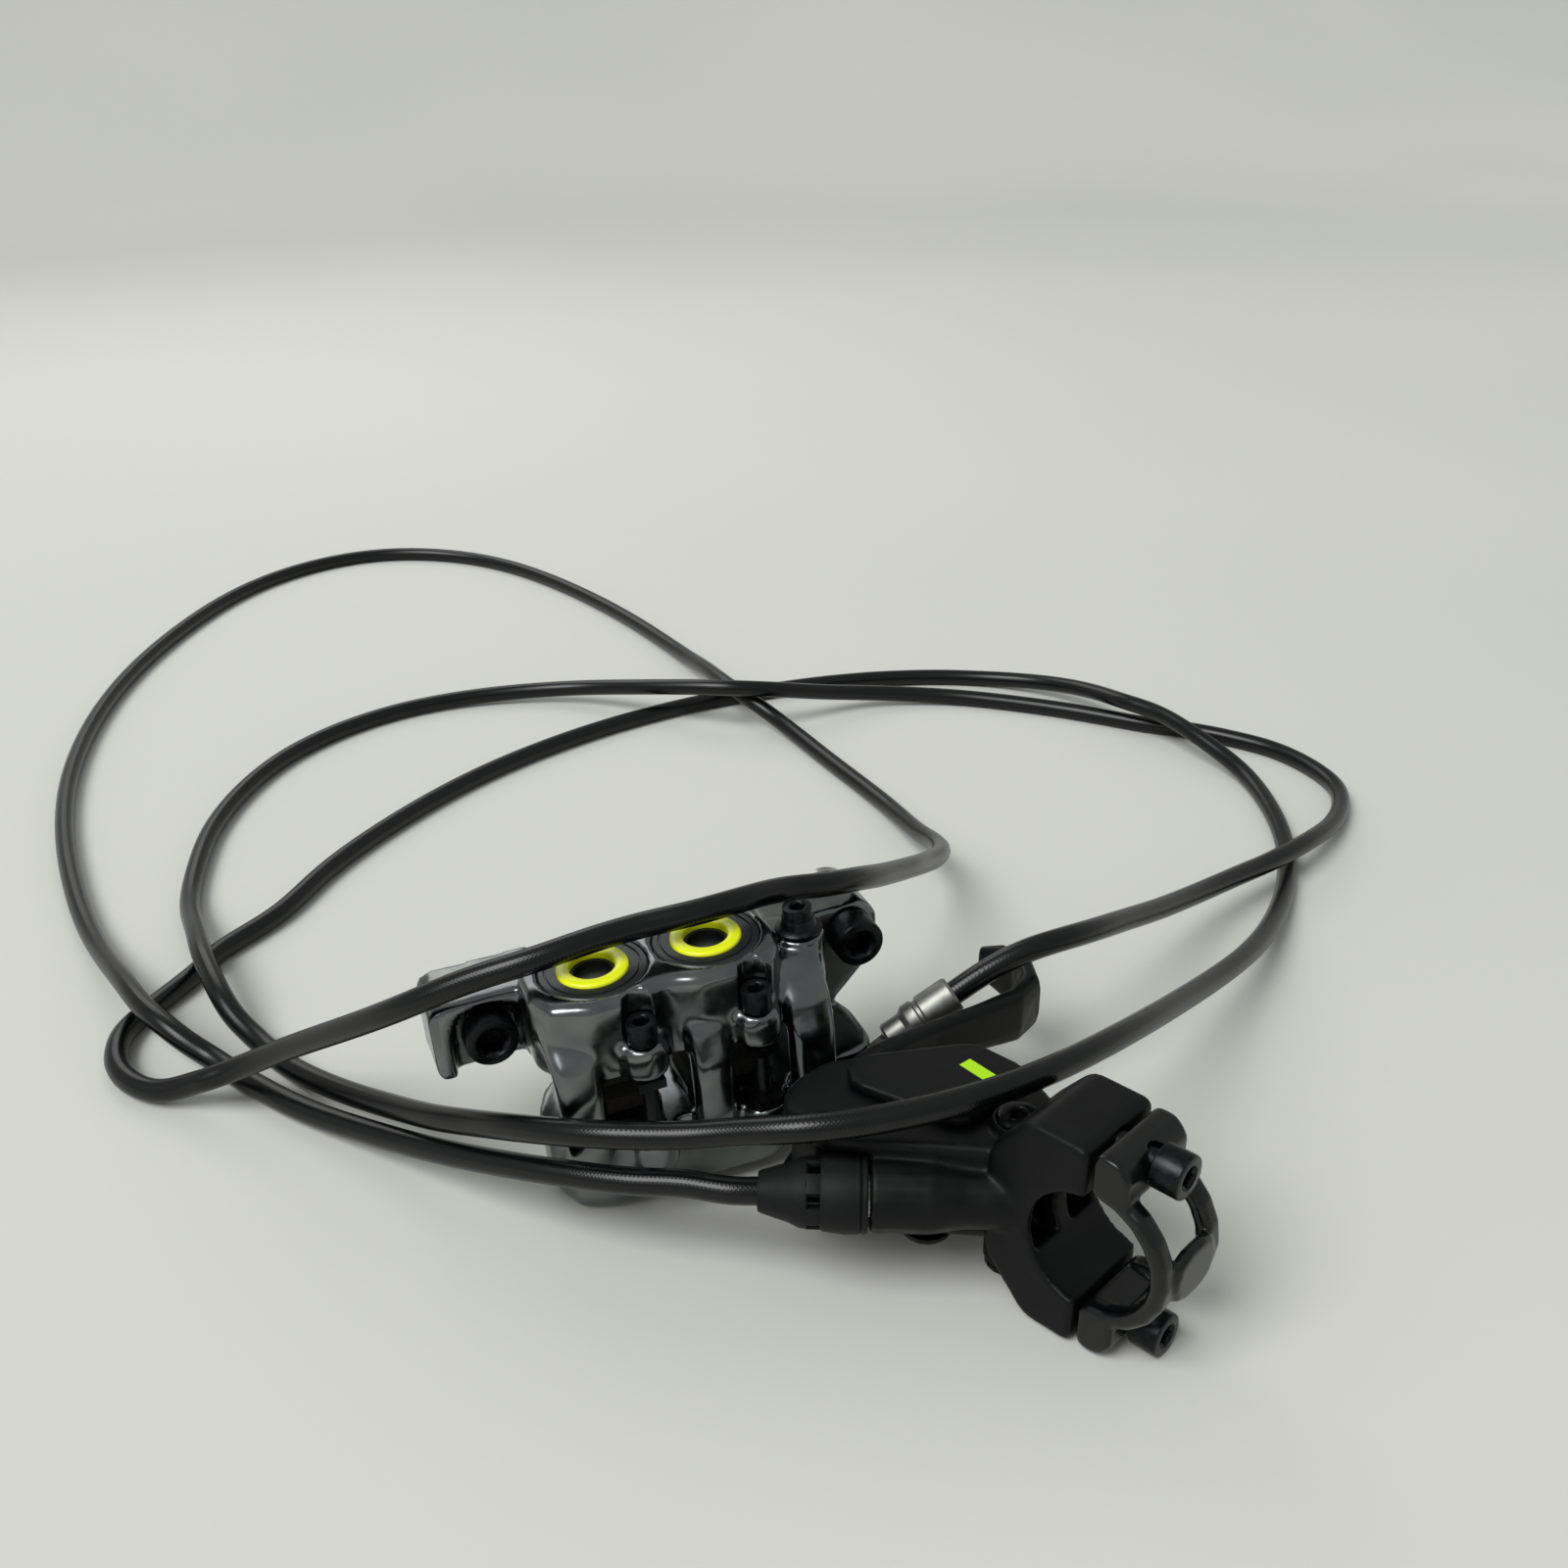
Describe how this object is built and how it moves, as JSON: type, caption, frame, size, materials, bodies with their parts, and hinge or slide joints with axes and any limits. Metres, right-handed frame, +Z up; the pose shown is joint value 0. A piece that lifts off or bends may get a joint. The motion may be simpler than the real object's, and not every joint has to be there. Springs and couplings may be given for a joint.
{
  "type": "hydraulic disc brake",
  "caption": "Bicycle hydraulic disc brake lying loose: hinged lever with master cylinder and bar clamp, long coiled hose and a forged caliper with capped bores.",
  "frame": {"origin": "middle of the footprint of the lever and the caliper, on the floor that they lie on", "axes": "+Z up as the set lies, +Y out of the caliper's mounting faces, +X towards the caliper's hose end"},
  "size_m": [0.3483, 0.4959, 0.0571],
  "materials": {
    "polished_alloy": "polished and smoked, machined faces satin",
    "black_anodised_alloy": "black anodised, satin",
    "moulded_black": "fibre-reinforced moulding, fine matt grain",
    "black_steel": "black oxide steel",
    "bright_steel": "bright steel, lightly worn",
    "rubber": "soft black rubber",
    "yellow_anodised": "neon yellow, satin",
    "brass": "plain",
    "pad_lining": "pressed friction compound",
    "phenolic": "hard moulded resin",
    "hose_cover": "satin black nylon jacket"
  },
  "bodies": {
    "housing": {"banjo_bolt": "bright_steel", "banjo_seal_lower": "brass", "banjo_seal_upper": "brass", "bore_cap_left": "black_anodised_alloy", "bore_cap_right": "black_anodised_alloy", "brake_hose": "hose_cover", "caliper_bleed_screw": "black_steel", "caliper_body": "polished_alloy", "cap_ring_left": "yellow_anodised", "cap_ring_right": "yellow_anodised", "clamp_bolt_lower": "black_steel", "clamp_bolt_upper": "black_steel", "clamp_side_plug": "moulded_black", "handlebar_clamp": "moulded_black", "hose_ferrule": "bright_steel", "hose_insert": "brass", "hose_nut": "bright_steel", "hose_olive": "brass", "hose_union": "bright_steel", "lever_pivot_pin": "bright_steel", "lower_plug": "moulded_black", "master_cylinder_body": "moulded_black", "mount_bolt_left": "black_steel", "mount_bolt_right": "black_steel", "mount_washer_left": "bright_steel", "mount_washer_right": "bright_steel", "nut_sleeve": "rubber", "pad_pin_left": "black_steel", "pad_pin_right": "black_steel", "piston_seal_lower_left": "rubber", "piston_seal_lower_right": "rubber", "piston_seal_upper_left": "rubber", "piston_seal_upper_right": "rubber", "piston_stop_ring": "bright_steel", "reservoir_bleed_screw": "black_steel", "reservoir_cover": "moulded_black", "reservoir_diaphragm": "rubber", "return_spring": "bright_steel"},
    "lever": {"lever_blade": "black_anodised_alloy", "reach_adjust_screw": "black_steel", "pivot_bush_upper": "phenolic", "pivot_bush_lower": "phenolic"},
    "plunger": {"push_rod": "bright_steel", "master_piston": "black_anodised_alloy", "primary_cup": "rubber", "secondary_cup": "rubber"},
    "pad_upper_left": {"piston_upper_left": "phenolic", "pad_plate_upper_left": "black_steel", "pad_lining_upper_left": "pad_lining"},
    "pad_upper_right": {"piston_upper_right": "phenolic", "pad_plate_upper_right": "black_steel", "pad_lining_upper_right": "pad_lining"},
    "pad_lower_left": {"piston_lower_left": "phenolic", "pad_plate_lower_left": "black_steel", "pad_lining_lower_left": "pad_lining"},
    "pad_lower_right": {"piston_lower_right": "phenolic", "pad_plate_lower_right": "black_steel", "pad_lining_lower_right": "pad_lining"}
  },
  "joints": [
    {"name": "lever_pivot", "type": "hinge", "parent": "housing", "child": "lever", "pos_m": [0.00128, -0.00101, 0.02079], "axis": [0, 0, -1], "range_deg": [0, 20], "stiffness_Nm_per_rad": 0.3},
    {"name": "plunger_slide", "type": "slide", "parent": "housing", "child": "plunger", "axis": [0.7405, -0.6721, 0], "range_m": [0, 0.0043], "deforming": ["return_spring"]},
    {"name": "pad_upper_left_slide", "type": "slide", "parent": "housing", "child": "pad_upper_left", "axis": [0.0698, 0, -0.9976], "range_m": [0, 0.00037]},
    {"name": "pad_upper_right_slide", "type": "slide", "parent": "housing", "child": "pad_upper_right", "axis": [0.0698, 0, -0.9976], "range_m": [0, 0.00037]},
    {"name": "pad_lower_left_slide", "type": "slide", "parent": "housing", "child": "pad_lower_left", "axis": [-0.0698, 0, 0.9976], "range_m": [0, 0.00037]},
    {"name": "pad_lower_right_slide", "type": "slide", "parent": "housing", "child": "pad_lower_right", "axis": [-0.0698, 0, 0.9976], "range_m": [0, 0.00037]}
  ],
  "couplings": [
    {"joint": "plunger_slide", "follows": "lever_pivot", "m_per_rad": 0.012},
    {"joint": "pad_upper_left_slide", "follows": "lever_pivot", "m_per_rad": 0.001038},
    {"joint": "pad_upper_right_slide", "follows": "lever_pivot", "m_per_rad": 0.001038},
    {"joint": "pad_lower_left_slide", "follows": "lever_pivot", "m_per_rad": 0.001038},
    {"joint": "pad_lower_right_slide", "follows": "lever_pivot", "m_per_rad": 0.001038}
  ]
}
